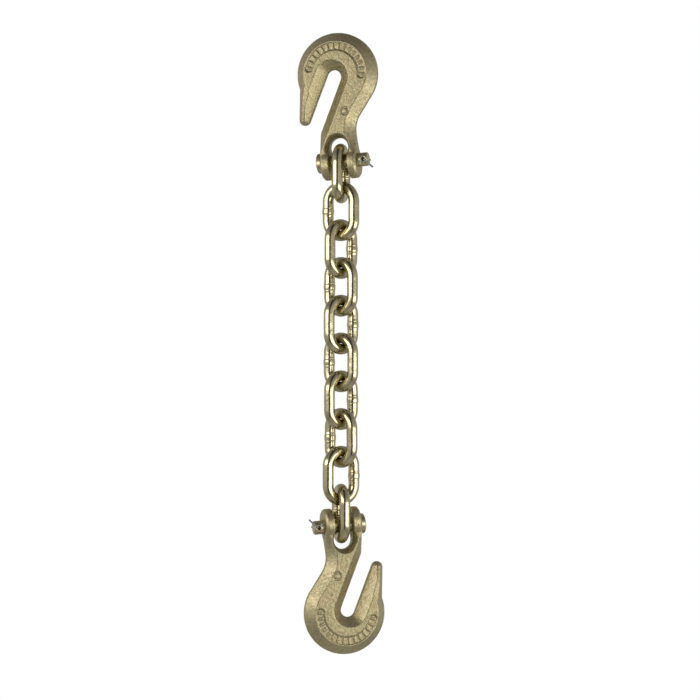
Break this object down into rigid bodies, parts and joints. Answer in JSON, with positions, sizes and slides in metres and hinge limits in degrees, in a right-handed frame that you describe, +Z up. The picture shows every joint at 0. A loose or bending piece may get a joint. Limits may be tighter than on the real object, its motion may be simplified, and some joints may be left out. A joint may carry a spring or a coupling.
{
  "type": "load binder chain",
  "caption": "Welded-link tie-down chain with a pinned clevis grab hook at each end, hung straight, for binding loads on trucks and trailers.",
  "frame": {"origin": "centre of the upper hook's throat seat, which hangs on what holds the chain up", "axes": "+Z up along the hanging chain, +Y through the upper hook's thickness along its throat's axis, +X to the right of the upper hook seen from -Y, its throat opening down and to -X"},
  "size_m": [0.0776, 0.0492, 0.5705],
  "materials": {
    "forged_hook": "forged, yellow zinc plated",
    "chain_link": "smooth, yellow zinc plated",
    "pin_steel": "turned, yellow zinc plated",
    "cotter_wire": "bright drawn wire"
  },
  "bodies": {
    "upper_hook": {"upper_hook": "forged_hook"},
    "upper_pin": {"upper_pin": "pin_steel", "upper_cotter": "cotter_wire"},
    "link_01": {"link_01": "chain_link"},
    "link_02": {"link_02": "chain_link"},
    "link_03": {"link_03": "chain_link"},
    "link_04": {"link_04": "chain_link"},
    "link_05": {"link_05": "chain_link"},
    "link_06": {"link_06": "chain_link"},
    "link_07": {"link_07": "chain_link"},
    "link_08": {"link_08": "chain_link"},
    "link_09": {"link_09": "chain_link"},
    "link_10": {"link_10": "chain_link"},
    "lower_hook": {"lower_hook": "forged_hook"},
    "lower_pin": {"lower_pin": "pin_steel", "lower_cotter": "cotter_wire"}
  },
  "joints": [
    {"name": "upper_pin_turn", "type": "hinge", "parent": "upper_hook", "child": "upper_pin", "pos_m": [0.00622, 0, -0.07735], "axis": [0.9968, 0, 0.0802], "continuous": true},
    {"name": "link_01_swing", "type": "hinge", "parent": "upper_hook", "child": "link_01", "pos_m": [0.00622, 0, -0.07735], "axis": [0.9968, 0, 0.0802], "range_deg": [-100, 100]},
    {"name": "link_02_swing", "type": "hinge", "parent": "link_01", "child": "link_02", "pos_m": [0.00622, 0, -0.1113], "axis": [-0.2756, -0.9613, 0], "range_deg": [-65, 65]},
    {"name": "link_03_swing", "type": "hinge", "parent": "link_02", "child": "link_03", "pos_m": [0.00622, 0, -0.146], "axis": [-0.848, 0.5299, 0], "range_deg": [-90, 90]},
    {"name": "link_04_swing", "type": "hinge", "parent": "link_03", "child": "link_04", "pos_m": [0.00622, 0, -0.1807], "axis": [0.4226, 0.9063, 0], "range_deg": [-90, 90]},
    {"name": "link_05_swing", "type": "hinge", "parent": "link_04", "child": "link_05", "pos_m": [0.00622, 0, -0.2154], "axis": [0.7986, -0.6018, 0], "range_deg": [-90, 90]},
    {"name": "link_06_swing", "type": "hinge", "parent": "link_05", "child": "link_06", "pos_m": [0.00622, 0, -0.2501], "axis": [0.3907, 0.9205, 0], "range_deg": [-90, 90]},
    {"name": "link_07_swing", "type": "hinge", "parent": "link_06", "child": "link_07", "pos_m": [0.00622, 0, -0.2848], "axis": [0.8192, -0.5736, 0], "range_deg": [-90, 90]},
    {"name": "link_08_swing", "type": "hinge", "parent": "link_07", "child": "link_08", "pos_m": [0.00622, 0, -0.3195], "axis": [-0.4695, -0.8829, 0], "range_deg": [-90, 90]},
    {"name": "link_09_swing", "type": "hinge", "parent": "link_08", "child": "link_09", "pos_m": [0.00622, 0, -0.3542], "axis": [-0.7193, 0.6947, 0], "range_deg": [-90, 90]},
    {"name": "link_10_swing", "type": "hinge", "parent": "link_09", "child": "link_10", "pos_m": [0.00622, 0, -0.3889], "axis": [0.866, 0.5, 0], "range_deg": [-65, 65]},
    {"name": "lower_hook_swing", "type": "hinge", "parent": "link_10", "child": "lower_hook", "pos_m": [0.00622, 0, -0.41135], "axis": [-0.8632, -0.4984, -0.0802], "range_deg": [-100, 100]},
    {"name": "lower_pin_turn", "type": "hinge", "parent": "lower_hook", "child": "lower_pin", "pos_m": [0.00622, 0, -0.41135], "axis": [-0.8632, -0.4984, -0.0802], "continuous": true}
  ]
}
